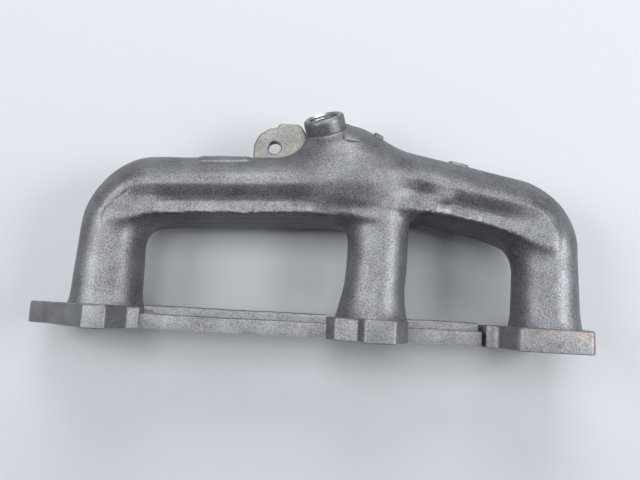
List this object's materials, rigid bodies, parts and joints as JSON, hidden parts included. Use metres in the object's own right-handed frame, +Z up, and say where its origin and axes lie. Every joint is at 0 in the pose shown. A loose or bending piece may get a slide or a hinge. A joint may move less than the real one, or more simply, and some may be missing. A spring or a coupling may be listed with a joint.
{
  "type": "exhaust manifold",
  "caption": "Cast-iron exhaust manifold: port pads and strips on a head flange, runners bent into a log, a central collector with a rear outlet, sensor boss and shield lug.",
  "frame": {"origin": "centre of the middle port on the cylinder-head face", "axes": "+X along the engine towards the saw-cut end, +Y away from the cylinder head, +Z up, away from the outlet"},
  "size_m": [0.302, 0.127, 0.072],
  "materials": {
    "cast_skin": "as-cast, sandy",
    "flange_iron": "as-cast with machined head face",
    "boss_iron": "as-cast with machined seat and thread",
    "lug_iron": "as-cast, light rust tint"
  },
  "bodies": {
    "root": {"far_port_pad": "flange_iron", "middle_port_pad": "flange_iron", "near_port_pad": "flange_iron", "far_strip": "flange_iron", "near_strip": "flange_iron", "far_strip_rib": "flange_iron", "near_strip_rib": "flange_iron", "far_runner": "cast_skin", "middle_runner": "cast_skin", "near_runner": "cast_skin", "far_bend": "cast_skin", "near_bend": "cast_skin", "far_log": "cast_skin", "near_log": "cast_skin", "far_stub": "cast_skin", "middle_stub": "cast_skin", "near_stub": "cast_skin", "collector": "cast_skin", "collector_dome": "cast_skin", "outlet_neck": "cast_skin", "outlet_flange": "flange_iron", "sensor_boss": "boss_iron", "shield_lug": "lug_iron", "casting_pad": "cast_skin", "collector_pad": "cast_skin", "oval_pad": "cast_skin", "locating_nub": "cast_skin"}
  },
  "joints": []
}
